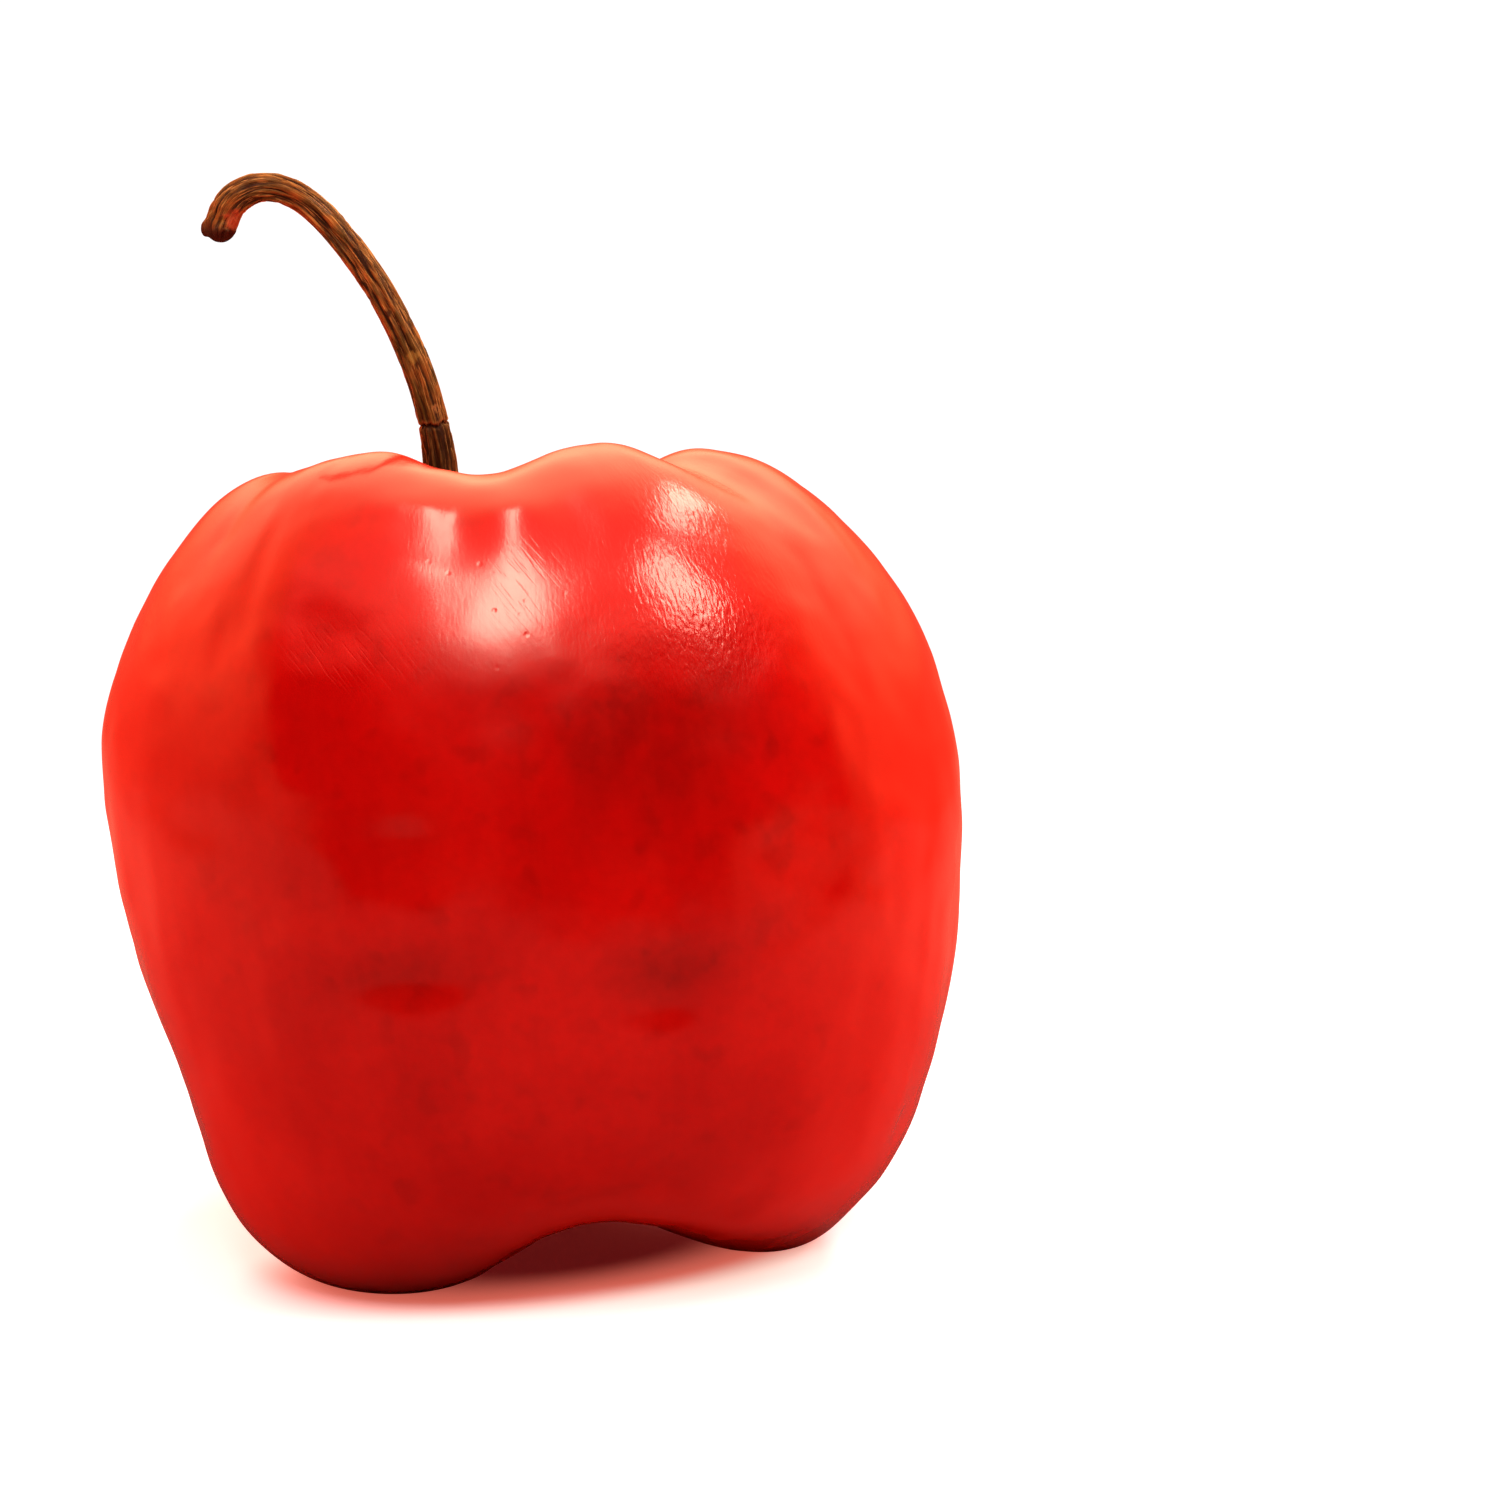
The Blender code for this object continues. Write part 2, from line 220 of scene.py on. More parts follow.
berry = {
    "bellyRadius": (0.0386, 0.0350, 0.0372, 0.0352),
    "bellyHeight": (0.0440, 0.0410, 0.0440, 0.0410),
    "footRadius": (0.0162, 0.0180, 0.0190, 0.0165),
    "crestRadius": (0.0180, 0.0165, 0.0200, 0.0165),
    "crestHeight": (0.0715, 0.0680, 0.0692, 0.0742),
    "lowerSquareness": (2.0, 2.4, 2.6, 2.4),
    "upperSquareness": (1.82, 2.2, 1.5, 2.2),
    "scarHeight": 0.0060,
    "seatHeight": 0.0590,
    "ease": 0.0022,
    "stops": {"foot": 0.13, "belly": 0.42, "shoulder": 0.70, "crest": 0.84, "funnel": 0.93},
    "grooves": (  # angle at foot and crest, half width at both, depth at the five stops
        {"foot": -79, "crest": -92, "width": (30, 19), "depths": (0.0056, 0.0004, 0.0014, 0.0030, 0.0030)},
        {"foot": 59, "crest": 47, "width": (24, 18), "depths": (0.0055, 0.0014, 0.0022, 0.0040, 0.0030)},
        {"foot": 158, "crest": 160, "width": (20, 17), "depths": (0.0040, 0.0010, 0.0014, 0.0030, 0.0026)},
        {"foot": -10, "crest": -33, "width": (14, 14), "depths": (0.0000, 0.0002, 0.0010, 0.0026, 0.0024)},
        {"foot": 110, "crest": 104, "width": (16, 16), "depths": (0.0008, 0.0004, 0.0012, 0.0028, 0.0024)},
        {"foot": -128, "crest": -146, "width": (14, 14), "depths": (0.0000, 0.0004, 0.0006, 0.0006, 0.0020)},
    ),
    "swellings": (  # the first three fill out the feet
        {"angle": -155, "at": 0.180, "around": 0.015, "along": 0.014, "push": 0.0026},
        {"angle": 9, "at": 0.140, "around": 0.012, "along": 0.010, "push": 0.0010},
        {"angle": 108, "at": 0.150, "around": 0.014, "along": 0.012, "push": 0.0012},
        {"angle": -35, "at": 0.130, "around": 0.015, "along": 0.014, "push": -0.0020},
        {"angle": 180, "at": 0.345, "around": 0.022, "along": 0.013, "push": -0.0024},
        {"angle": -73, "at": 0.840, "around": 0.007, "along": 0.010, "push": -0.0010},
    ),
    "leanLeft": math.radians(5.0),
    "leanBack": math.radians(3.0),
    "seatShift": -0.0052,
    "footAngles": (-155, 9, 108),
    "footSpread": math.radians(35),
    "settleHeight": 0.025,
    "press": 0.0005,
    "solidSteps": 90,
    "outlineSteps": 480,
    "aroundSteps": 380,
    "upSteps": 256,
}


def around(values, angle):
    right, back, left, front = values
    mean = (right + back + left + front) / 4
    return (mean + (right - left) / 2 * np.cos(angle) + (back - front) / 2 * np.sin(angle)
            + (right + left - back - front) / 4 * np.cos(2 * angle))


def eased(at, stops, values):
    total = np.full_like(at, values[0])
    for low, high, before, after in zip(stops, stops[1:], values, values[1:]):
        share = np.clip((at - low) / (high - low), 0, 1)
        total += (after - before) * share * share * (3 - 2 * share)
    return total


def turnedBy(angle, middle):
    return (angle - middle + math.pi) % (2 * math.pi) - math.pi


def ringAngles(count):
    return np.linspace(0, 2 * math.pi, count, endpoint=False)[None, :]


def rowShares(count, angle):  # from 0 to 1 over the rows, the same at each angle
    return np.linspace(0, 1, count)[:, None] + 0 * angle


def halfOutline(angle):
    belly, bellyAt = around(berry["bellyRadius"], angle), around(berry["bellyHeight"], angle)
    foot, crest = around(berry["footRadius"], angle), around(berry["crestRadius"], angle)
    top, seat = around(berry["crestHeight"], angle), berry["seatHeight"]
    turn = np.linspace(0, math.pi / 2, berry["outlineSteps"])[:, None]
    share = np.linspace(0, 1, berry["outlineSteps"])[:, None]
    low, high = 2 / around(berry["lowerSquareness"], angle), 2 / around(berry["upperSquareness"], angle)
    radius = np.concatenate((
        foot * share,
        foot + (belly - foot) * np.sin(turn) ** low,
        crest + (belly - crest) * np.cos(turn) ** high,
        crest * (1 - share),
    ))
    height = np.concatenate((
        berry["scarHeight"] * (1 + np.cos(math.pi * share)) / 2 + 0 * angle,
        bellyAt * (1 - np.cos(turn) ** low),
        bellyAt + (top - bellyAt) * np.sin(turn) ** high,
        seat + (top - seat) * (1 + np.cos(math.pi * share)) / 2,
    ))
    return radius, height


def runUp(steps):  # how far it is from the start to each point
    return np.concatenate((0 * steps[:1], np.cumsum(steps, axis=0)))


def readAt(stops, away, rows):  # the rows at other distances, each column by its own
    return np.stack([np.interp(*column) for column in zip(stops.T, away.T, rows.T)], axis=1)


def evenlySpaced(radius, height, count):
    away = runUp(np.hypot(np.diff(radius, axis=0), np.diff(height, axis=0)))
    stops = np.linspace(0, away[-1], count)
    return readAt(stops, away, radius), readAt(stops, away, height), away[-1]


def softened(radius, height, length):
    reach = berry["ease"] / (length.mean() / (len(radius) - 1))
    side = int(3 * reach)
    weights = np.exp(-0.5 * (np.arange(-side, side + 1) / reach) ** 2)
    weights /= weights.sum()
    soft = []
    for sign, rows in ((-1, radius), (1, height)):  # past the poles the outline runs on at the far side
        wide = np.concatenate((sign * rows[side:0:-1], rows, sign * rows[-2 : -side - 2 : -1]))
        soft.append(sum(w * wide[i : i + len(rows)] for i, w in enumerate(weights)))
    return soft


def pushed(angle, at, radius, length, places):
    total = np.zeros_like(radius)
    for place in places:
        across = turnedBy(angle, math.radians(place["angle"])) * radius / place["around"]
        along = (at - place["at"]) * length / place["along"]
        total += place["push"] * np.exp(-across * across - along * along)
    return total


def relief(angle, at, radius, length, grooves):
    stops = berry["stops"]
    feetToCrest = (stops["foot"], stops["crest"])
    total = pushed(angle, at, radius, length, berry["swellings"])
    for groove in grooves:
        middle = eased(at, feetToCrest, np.radians((groove["foot"], groove["crest"])))
        width = eased(at, feetToCrest, np.radians(groove["width"]))
        off = turnedBy(angle, middle) / width
        depth = eased(at, (0.0, *stops.values(), 1.0), (0.0, *groove["depths"], 0.0))
        total -= depth * np.exp(-off * off)
    return total


def leaningSkin(angle, count, grooves, dents):
    radius, height, length = evenlySpaced(*halfOutline(angle), berry["outlineSteps"])
    radius, height = softened(radius, height, length)
    slopeRadius, slopeHeight = np.gradient(radius, axis=0), np.gradient(height, axis=0)
    size = np.hypot(slopeRadius, slopeHeight)
    at = rowShares(len(radius), angle)
    stand = relief(angle, at, np.abs(radius), length, grooves)
    stand += pushed(angle, at, np.abs(radius), length, dents)
    radius = radius + stand * slopeHeight / size
    height = height - stand * slopeRadius / size
    radius[0], radius[-1] = 0, 0
    height[0], height[-1] = height[0].mean(), height[-1].mean()
    radius, height, _ = evenlySpaced(radius, height, count)
    aside = eased(rowShares(count, angle), (berry["stops"]["crest"], 1.0), (0.0, berry["seatShift"]))
    aside = aside - math.tan(berry["leanLeft"]) * height
    behind = math.tan(berry["leanBack"]) * height
    return np.stack((radius * np.cos(angle) + aside, radius * np.sin(angle) + behind, height), axis=-1)


def standingPlace():
    angle = ringAngles(berry["solidSteps"])
    points = leaningSkin(angle, berry["outlineSteps"], berry["grooves"], ())
    feet = []
    for foot in berry["footAngles"]:
        near = np.abs(turnedBy(angle[0], math.radians(foot))) < berry["footSpread"]
        sector = points[:, near].reshape(-1, 3)
        feet.append(sector[sector[:, 2].argmin()])
    feet = np.array(feet)
    plane = np.linalg.solve(np.column_stack((feet[:, :2], np.ones(3))), feet[:, 2])
    return plane, (points.min(axis=(0, 1)) + points.max(axis=(0, 1)))[:2] / 2


def berrySkin(angle, count, grooves=berry["grooves"], dents=()):
    (slopeX, slopeY, level), middle = standingPlace()
    points = leaningSkin(angle, count, grooves, dents)
    floor = slopeX * points[..., 0] + slopeY * points[..., 1] + level
    keep = eased((points[..., 2] - floor) / berry["settleHeight"], (0.0, 1.0), (0.0, 1.0))
    points[..., 2] -= level + (1 - keep) * (floor - level) + berry["press"]
    points[..., 2] = np.maximum(points[..., 2], 0)
    points[..., :2] -= middle
    return points


# Finer hollows and folds of the skin: angle, place along the outline, reach around and along, height
skinDents = (
    {"angle": -91.8, "at": 0.721, "around": 0.0026, "along": 0.0036, "push": -0.00016},
    {"angle": -84.5, "at": 0.738, "around": 0.0034, "along": 0.0042, "push": 0.00030},
    {"angle": -72, "at": 0.730, "around": 0.0040, "along": 0.0046, "push": -0.00030},
    {"angle": -69, "at": 0.419, "around": 0.0044, "along": 0.0028, "push": -0.00060},
    {"angle": -107, "at": 0.440, "around": 0.0054, "along": 0.0020, "push": -0.00045},
    {"angle": -103, "at": 0.524, "around": 0.0026, "along": 0.0015, "push": -0.00022},
    {"angle": -130, "at": 0.692, "around": 0.0018, "along": 0.0050, "push": -0.00020},
    {"angle": -134, "at": 0.645, "around": 0.0019, "along": 0.0040, "push": -0.00020},
    {"angle": -116, "at": 0.655, "around": 0.0038, "along": 0.0046, "push": -0.00036},
    {"angle": -146, "at": 0.730, "around": 0.0019, "along": 0.0055, "push": -0.00022},
    {"angle": 22, "at": 0.480, "around": 0.0050, "along": 0.0026, "push": -0.00050},
    {"angle": 84, "at": 0.690, "around": 0.0020, "along": 0.0060, "push": -0.00045},
    {"angle": 121, "at": 0.400, "around": 0.0060, "along": 0.0030, "push": -0.00050},
    {"angle": 174, "at": 0.610, "around": 0.0022, "along": 0.0050, "push": -0.00040},
)

# Where the skin has no lumps, is wrinkled, is pitted, is scored by slanting lines, and where shade is painted darker
# into its colour
skinMarks = {
    "calm": (
        {"angle": -89, "at": 0.670, "around": 0.0085, "along": 0.0100, "push": 0.9},
        {"angle": -58, "at": 0.655, "around": 0.0080, "along": 0.0080, "push": 0.7},
    ),
    "wrinkled": (
        {"angle": -57, "at": 0.655, "around": 0.0075, "along": 0.0070, "push": 1.0},
        {"angle": -51, "at": 0.730, "around": 0.0040, "along": 0.0050, "push": 0.9},
        {"angle": 28, "at": 0.700, "around": 0.0120, "along": 0.0090, "push": 0.9},
        {"angle": 100, "at": 0.740, "around": 0.0100, "along": 0.0070, "push": 0.9},
        {"angle": 190, "at": 0.690, "around": 0.0110, "along": 0.0080, "push": 0.8},
    ),
    "pitted": (
        {"angle": -90, "at": 0.674, "around": 0.0055, "along": 0.0036, "push": 1.0},
        {"angle": 40, "at": 0.640, "around": 0.0120, "along": 0.0070, "push": 0.8},
        {"angle": 160, "at": 0.660, "around": 0.0120, "along": 0.0070, "push": 0.8},
    ),
    "scored": (
        {"angle": -83, "at": 0.686, "around": 0.0026, "along": 0.0036, "push": 1.0},
        {"angle": -112, "at": 0.640, "around": 0.0060, "along": 0.0040, "push": 0.5},
        {"angle": 60, "at": 0.640, "around": 0.0060, "along": 0.0060, "push": 0.8},
        {"angle": 150, "at": 0.700, "around": 0.0060, "along": 0.0060, "push": 0.8},
    ),
    # painted shade: the hollows of some dents and two broad front patches are coloured darker
    "paintedShade": (
        {"angle": -69, "at": 0.417, "around": 0.0050, "along": 0.0034, "push": 0.9},
        {"angle": -107, "at": 0.438, "around": 0.0066, "along": 0.0026, "push": 0.7},
        {"angle": -103, "at": 0.524, "around": 0.0032, "along": 0.0020, "push": 0.6},
        {"angle": -69, "at": 0.575, "around": 0.0115, "along": 0.0085, "push": 1.0},
        {"angle": -75, "at": 0.200, "around": 0.0150, "along": 0.0080, "push": 1.0},
        {"angle": 22, "at": 0.480, "around": 0.0060, "along": 0.0034, "push": 0.8},
        {"angle": 121, "at": 0.400, "around": 0.0070, "along": 0.0036, "push": 0.8},
    ),
}

skinRelief = {
    "Lump Size": 0.0090,
    "Lump Height": 0.00026,
    "Pleat Count": 7.0,
    "Pleat Bends": 1.6,
    "Pleat Height": 0.00018,
    "Wrinkle Size": 0.0024,
    "Wrinkle Height": 0.00002,
    "Pull In": 0.00003,
    "Relief From": 0.0003,  # heights over the table between which the relief sets in
    "Relief Full": 0.004,
}


def meridianOf(angle, at):  # the way round as a point on a circle, then the share of the way up or out
    return np.stack((np.cos(angle) + 0 * at, np.sin(angle) + 0 * at, at), axis=-1)


def skinTree():
    # soft lumps, lengthwise pleats and fine wrinkles, all pressed inwards, none under the feet
    tree, given = newShape("Skin Relief", skinRelief)
    place = addNode(tree, "GeometryNodeInputPosition").outputs[0]
    lumps = noise(tree, place, calc(tree, "DIVIDE", 1.0, given["Lump Size"]), 1.5, 0.45)
    wrinkles = noise(tree, place, calc(tree, "DIVIDE", 1.0, given["Wrinkle Size"]), 2.0, 0.5, 0.6)
    stretch = joined(tree, given["Pleat Count"], given["Pleat Count"], given["Pleat Bends"])
    pleats = stretchedNoise(tree, stored(tree, "meridian", "FLOAT_VECTOR"), stretch, 1.0, 0.4)
    total = times(tree, remap(tree, lumps, 0.30, 0.70), given["Lump Height"])
    total = timesPlus(tree, pleats, given["Pleat Height"], total)
    total = times(tree, total, calc(tree, "SUBTRACT", 1.0, stored(tree, "calm")))
    total = timesPlus(tree, wrinkles, given["Wrinkle Height"], total)
    total = calc(tree, "ADD", total, given["Pull In"])
    inwards = remap(tree, parts(tree, place)["Z"], given["Relief From"], given["Relief Full"], 0.0, -1.0)
    return endShape(tree, given, given["Geometry"], times(tree, total, inwards))


def makeBerry(finish):
    angle = ringAngles(berry["aroundSteps"])
    rows = berrySkin(angle, berry["upSteps"], dents=skinDents)
    piece = closedSkin("berrySkin", rows)
    at = rowShares(berry["upSteps"], angle)
    giveValues(piece, "meridian", onePole(meridianOf(angle, at)))
    radius = np.linalg.norm((rows - rows.mean(axis=1, keepdims=True))[..., :2], axis=-1)
    length = np.linalg.norm(np.diff(rows, axis=0), axis=-1).sum(axis=0)
    for name, places in skinMarks.items():
        giveValues(piece, name, np.clip(onePole(pushed(angle, at, radius, length, places)), 0, 1))
    return bakeTree(piece, skinTree(), skinRelief, finish)


# Calyx: a dished disc with a collar and six teeth, in the solid's sizes

calyx = {
    "discReach": 0.0053,
    "discThickness": 0.0011,
    "edgeThickness": 0.0007,
    "collarReach": 0.0039,
    "collarHeight": 0.0011,
    "collarWidth": 0.0006,
    "collarEnd": 1.6,
    "clearance": 0.00045,
    "toothHalfAngle": math.radians(11),
    "teeth": (
        {"angle": -119, "length": 0.0046, "curl": 0.0015},
        {"angle": -63, "length": 0.0054, "curl": 0.0021},
        {"angle": 8, "length": 0.0048, "curl": 0.0014},
        {"angle": 76, "length": 0.0057, "curl": 0.0023},
        {"angle": 132, "length": 0.0044, "curl": 0.0016},
        {"angle": 188, "length": 0.0052, "curl": 0.0019},
    ),
    "rimReach": 0.0004,  # the edge thins out over this last bit, to a share of its thickness
    "rimShare": 0.1,
    "rimLift": 0.45,
    "aroundSteps": 288,
    "discRings": 26,
    "toothRings": 22,
}

calyxRelief = {
    "Vein Height": 0.00016,
    "Wrinkle Size": 0.0007,
    "Wrinkle Height": 0.00010,
}


def roundSeat(angle, reach):
    # points at distances from the seat's middle, on the skin that spans the grooves, and its normals
    skin = berrySkin(angle, berry["outlineSteps"], grooves=())[::-1]
    away = runUp(np.linalg.norm(np.diff(skin, axis=0), axis=-1))
    points = np.stack([readAt(reach, away, skin[..., axis]) for axis in range(3)], axis=-1)
    outward = np.gradient(points, axis=0)
    sideways = np.roll(points, -1, axis=1) - np.roll(points, 1, axis=1)
    normals = np.cross(outward, sideways)
    normals[0] = normals[1].mean(axis=0)
    return points, normals / np.linalg.norm(normals, axis=-1, keepdims=True)


def calyxTree():
    # veins that run out along the teeth, and dried wrinkles
    tree, given = newShape("Calyx Relief", calyxRelief)
    veins = stretchedNoise(tree, stored(tree, "meridian", "FLOAT_VECTOR"), (9.0, 9.0, 1.4), 2.0, 0.5)
    place = addNode(tree, "GeometryNodeInputPosition").outputs[0]
    wrinkles = noise(tree, place, calc(tree, "DIVIDE", 1.0, given["Wrinkle Size"]), 2.0, 0.5, 0.8)
    total = times(tree, remap(tree, veins, 0.35, 0.65), given["Vein Height"])
    total = timesPlus(tree, wrinkles, given["Wrinkle Height"], total)
    return endShape(tree, given, given["Geometry"], times(tree, total, -1.0))


def makeCalyx(finish):
    angle = ringAngles(calyx["aroundSteps"])
    toothLength, toothCurl = 0 * angle, 0 * angle
    for tooth in calyx["teeth"]:
        off = turnedBy(angle, math.radians(tooth["angle"])) / calyx["toothHalfAngle"]
        share = np.exp(-off * off)
        toothLength += tooth["length"] * share
        toothCurl += tooth["curl"] * share
    discEnd = calyx["collarReach"] + calyx["collarEnd"] * calyx["collarWidth"]
    disc = np.linspace(0, discEnd, calyx["discRings"])[:, None] + 0 * angle
    share = np.linspace(0, 1, calyx["toothRings"] + 1)[1:, None]
    reach = np.concatenate((disc, discEnd + share * (calyx["discReach"] + toothLength - discEnd)))
    points, normals = roundSeat(angle, reach)
    pastDisc = np.clip((reach - calyx["discReach"]) / toothLength.max(), 0, 1)
    lift = toothCurl * pastDisc**2
    collar = calyx["collarHeight"] * np.exp(-(((reach - calyx["collarReach"]) / calyx["collarWidth"]) ** 2))
    thinning = (calyx["edgeThickness"] - calyx["discThickness"]) * reach / reach.max()
    thickness = calyx["discThickness"] + thinning + collar
    rim = np.sqrt(np.clip((reach[-1:] - reach) / calyx["rimReach"], 0, 1))
    under = calyx["clearance"] + lift + calyx["rimLift"] * (1 - rim) * thickness
    under = points + normals * under[..., None]
    over = under + normals * ((calyx["rimShare"] + (1 - calyx["rimShare"]) * rim) * thickness)[..., None]
    piece = closedSkin("calyxStar", np.concatenate((under, over[::-1])))
    spot = meridianOf(angle, reach / reach.max())
    giveValues(piece, "meridian", onePole(np.concatenate((spot, spot[::-1]))))
    return bakeTree(piece, calyxTree(), calyxRelief, finish)


# Stem: its middle line over the calyx, and its half thickness at shares of its length

stem = {
    "path": (
        (-0.0079, 0.0013, 0.0660), (-0.0082, 0.0008, 0.0707), (-0.0088, 0.0003, 0.0744),
        (-0.0100, 0.0000, 0.0786), (-0.0118, 0.0000, 0.0828), (-0.0142, 0.0002, 0.0869),
        (-0.0174, 0.0006, 0.0910), (-0.0203, 0.0009, 0.0934), (-0.0231, 0.0010, 0.0941),
        (-0.0255, 0.0009, 0.0931), (-0.0268, 0.0007, 0.0910), (-0.0270, 0.0006, 0.0894),
    ),
    "halfThickness": ((0.00, 0.00185), (0.06, 0.00168), (0.20, 0.00150), (0.30, 0.00136),
                      (0.50, 0.00130), (0.84, 0.00130), (0.93, 0.00152), (1.00, 0.00172)),
    "clearance": 0.0007,
    "footRounding": 0.0005,
    "tipRounding": 0.0013,
    "footRings": (0.05, 8),  # the turn of the first ring in radians, and how many the rounding has
    "tipRings": (0.03, 20),
    "rings": 420,
}

stemShape = {
    "Sides": 96,
    "Ribs": 5.0,
    "Rib Height": 0.00007,
    "Twist": 1.3,
    "Fibre Height": 0.00022,
    "Knob Height": 0.00030,
    "Crack At": 0.264,
    "Crack Sway": 0.036,
    "Crack Depth": 0.00024,
    "Pull In": 0.00004,
}


def stemTree():
    # a ribbed tube along the path, split into fibres lengthwise and lumpy at its tip
    tree, given = newShape("Stem Along Path", stemShape)
    girth, along = stored(tree, "girth"), stored(tree, "along")
    line = addNode(tree, "GeometryNodeMeshToCurve", {0: given["Geometry"]}).outputs[0]
    inputs = {"Resolution": given["Sides"], "Radius": 1.0}
    ring = addNode(tree, "GeometryNodeCurvePrimitiveCircle", inputs, mode="RADIUS")
    ringShare = addNode(tree, "GeometryNodeSplineParameter").outputs["Factor"]
    turn = addNode(tree, "GeometryNodeCaptureAttribute", {"Geometry": ring.outputs["Curve"]}, domain="POINT")
    turn.capture_items.new("FLOAT", "Turn")
    feed(tree, turn.inputs["Turn"], times(tree, ringShare, 2 * math.pi))
    turned = turn.outputs["Turn"]
    inputs = {"Curve": line, "Profile Curve": turn.outputs["Geometry"], "Scale": girth, "Fill Caps": True}
    tube = addNode(tree, "GeometryNodeCurveToMesh", inputs).outputs[0]
    grain = joined(tree, calc(tree, "COSINE", turned), calc(tree, "SINE", turned), along)
    tube = store(tree, tube, "grain", "FLOAT_VECTOR", grain)
    ribTurn = times(tree, turned, given["Ribs"])
    ribTurn = timesPlus(tree, along, given["Twist"], ribTurn)
    ribs = times(tree, calc(tree, "COSINE", ribTurn), given["Rib Height"])
    ribs = calc(tree, "SUBTRACT", ribs, given["Pull In"])
    fibres = stretchedNoise(tree, grain, (3.2, 3.2, 9.0), 3.0, 0.62, 0.35)
    knobs = stretchedNoise(tree, grain, (1.5, 1.5, 34.0), 1.0, 0.5)
    nearTip = remap(tree, along, 0.90, 0.97)
    knobs = times(tree, remap(tree, knobs, 0.35, 0.65, -1.0, 0.0), nearTip)
    knobs = times(tree, knobs, given["Knob Height"])
    # an uneven crack rings it near the foot, which is more deeply ridged below
    crackAt = stretchedNoise(tree, grain, (1.3, 1.3, 0.0), 2.0, 0.6)
    halfSway = times(tree, given["Crack Sway"], -0.5)
    crackAt = timesPlus(tree, crackAt, given["Crack Sway"], halfSway)
    crackAt = calc(tree, "ADD", crackAt, given["Crack At"])
    fromCrack = calc(tree, "SUBTRACT", along, crackAt)
    tube = store(tree, tube, "fromCrack", "FLOAT", fromCrack)
    crack = remap(tree, calc(tree, "ABSOLUTE", fromCrack), 0.001, 0.006, -1.0, 0.0)
    ridges = times(tree, remap(tree, fromCrack, -0.006, 0.0, 1.5, 1.0), given["Fibre Height"])
    total = times(tree, remap(tree, fibres, 0.38, 0.62, -1.0, 0.0), ridges)
    total = calc(tree, "ADD", total, ribs)
    total = calc(tree, "ADD", total, knobs)
    total = timesPlus(tree, crack, given["Crack Depth"], total)
    offEnds = remap(tree, girth, 0.0002, 0.0012)  # less where the ends are rounded off
    return endShape(tree, given, tube, times(tree, total, offEnds))


def smoothPath(points, samples=24):
    ends = np.concatenate((2 * points[:1] - points[1:2], points, 2 * points[-1:] - points[-2:-1]))
    share = np.linspace(0, 1, samples, endpoint=False)[:, None]
    pieces = []
    for before, start, end, after in zip(ends, ends[1:], ends[2:], ends[3:]):
        pieces.append(start + (end - before) / 2 * share
                      + (before - 2.5 * start + 2 * end - after / 2) * share**2
                      + (1.5 * (start - end) + (after - before) / 2) * share**3)
    return np.concatenate((*pieces, points[-1:]))


def makeStem(finish):
    angle = ringAngles(calyx["aroundSteps"])
    seat, normals = roundSeat(angle, np.array(((0.0,), (calyx["discReach"],))) + 0 * angle)
    foot = seat[0, 0] + normals[0, 0] * (calyx["clearance"] + calyx["discThickness"] + stem["clearance"])
    path = smoothPath(np.array((foot, *stem["path"])))
    away = runUp(np.linalg.norm(np.diff(path, axis=0), axis=1))
    length = away[-1]
    footTurn, footCount = stem["footRings"]
    tipTurn, tipCount = stem["tipRings"]
    toFoot = stem["footRounding"] * (1 - np.cos(np.linspace(footTurn, math.pi / 2, footCount)))
    toTip = length - stem["tipRounding"] * (1 - np.cos(np.linspace(math.pi / 2, tipTurn, tipCount)))
    between = np.linspace(stem["footRounding"], length - stem["tipRounding"], stem["rings"])
    stops = np.concatenate((toFoot, between[1:-1], toTip))
    middle = np.stack([np.interp(stops, away, path[:, axis]) for axis in range(3)], axis=-1)
    at, sizes = np.array(stem["halfThickness"]).T
    girth = np.interp(stops / length, at, sizes)
    girth *= np.sqrt(1 - np.clip(1 - stops / stem["footRounding"], 0, 1) ** 2)
    girth *= np.sqrt(1 - np.clip(1 - (length - stops) / stem["tipRounding"], 0, 1) ** 2)
    mesh = bpy.data.meshes.new("stemStalk")
    mesh.from_pydata(middle, [(i, i + 1) for i in range(len(middle) - 1)], [])
    piece = addObject("stemStalk", mesh)
    giveValues(piece, "girth", girth)
    giveValues(piece, "along", stops / length)
    return bakeTree(piece, stemTree(), stemShape, finish)


# Finishes

def blotchGroup():
    # soft uneven patches
    takes = {"Place": "Vector", "Scale": "Float", "Low": "Float", "High": "Float"}
    group, given = newTree("Blotches", "ShaderNodeTree", takes, {"Mask": "Float"})
    large = noise(group, given["Place"], given["Scale"], 2.0, 0.45)
    return endTree(group, Mask=remap(group, large, given["Low"], given["High"]))


def fibreGroup():
    # fine lines that run lengthwise, from a place whose third number goes along the piece
    takes = {"Place": "Vector", "Around": "Float", "Along": "Float", "Low": "Float", "High": "Float"}
    group, given = newTree("Fibres", "ShaderNodeTree", takes, {"Mask": "Float", "Height": "Float"})
    stretch = joined(group, given["Around"], given["Around"], given["Along"])
    lines = stretchedNoise(group, given["Place"], stretch, 4.0, 0.6, 0.3)
    return endTree(group, Mask=remap(group, lines, given["Low"], given["High"]), Height=lines)


blotches = blotchGroup()
fibres = fibreGroup()


def useGroup(tree, group, **values):
    return addNode(tree, "ShaderNodeGroup", values, node_tree=group).outputs


def newFinish(name, constants):
    finish = bpy.data.materials.new(name)
    finish.use_nodes = True
    tree = finish.node_tree
    shader = tree.nodes["Principled BSDF"]
    for label, value in constants.items():
        shader.inputs[label].default_value = value
    return finish, tree, shader


